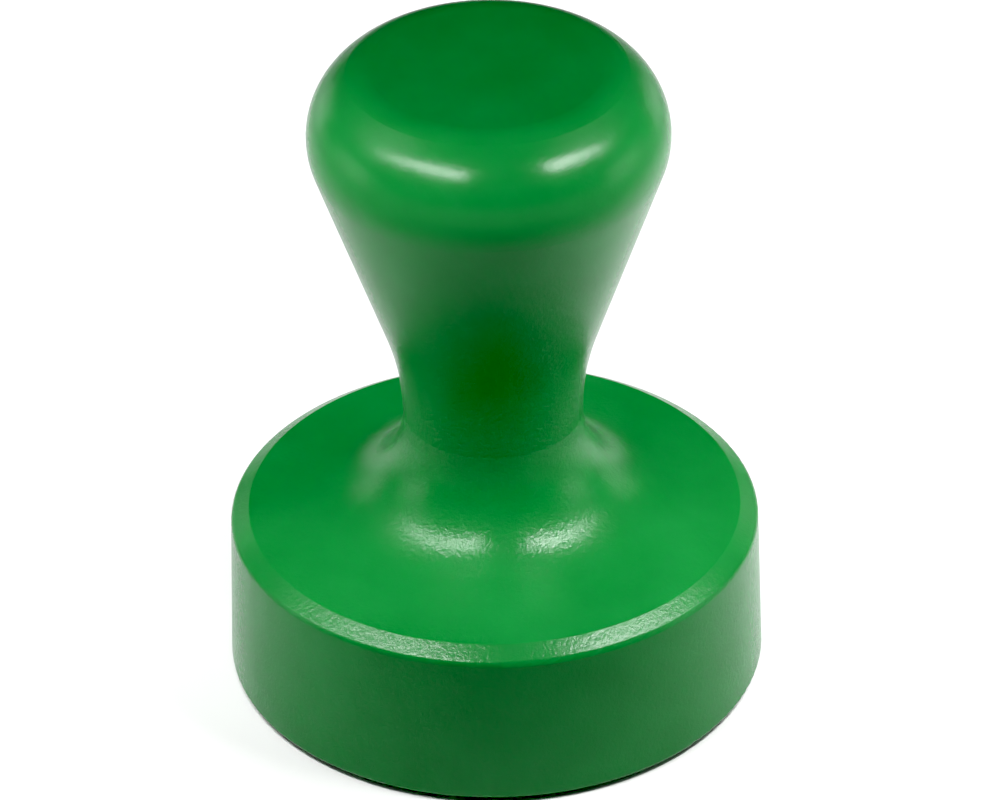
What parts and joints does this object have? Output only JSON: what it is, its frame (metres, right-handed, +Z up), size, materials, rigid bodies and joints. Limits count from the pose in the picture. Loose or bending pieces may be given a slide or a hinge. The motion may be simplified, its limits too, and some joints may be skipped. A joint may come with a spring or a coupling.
{
  "type": "hand-held holding magnet",
  "caption": "Round ferrite pot magnet under a one-piece green plastic grip with a tapered handle and a dished knob.",
  "frame": {"origin": "centre of the holding face, the plane of the steel cup's rim", "axes": "+Z up the axis, from the holding face to the knob; X and Y are free, because the part is round"},
  "size_m": [0.046, 0.046, 0.0584],
  "materials": {
    "grip": "satin green polypropylene, fine even spark texture on the foot, smoother on the knob",
    "brass": "turned and knurled",
    "plated_cup": "bright zinc plate over deep-drawn steel, holding rim ground flat",
    "ferrite": "ground hard ferrite, matt dark grey",
    "black_plastic": "matt black moulding",
    "plated_screw": "bright zinc plate",
    "spring_steel": "zinc-plated spring steel"
  },
  "bodies": {
    "root": {"grip_body": "grip", "threaded_insert": "brass", "pot_cup": "plated_cup", "ferrite_ring": "ferrite", "gap_ring": "black_plastic", "fixing_screw": "plated_screw", "spring_washer": "spring_steel", "flat_washer": "plated_screw"}
  },
  "joints": []
}
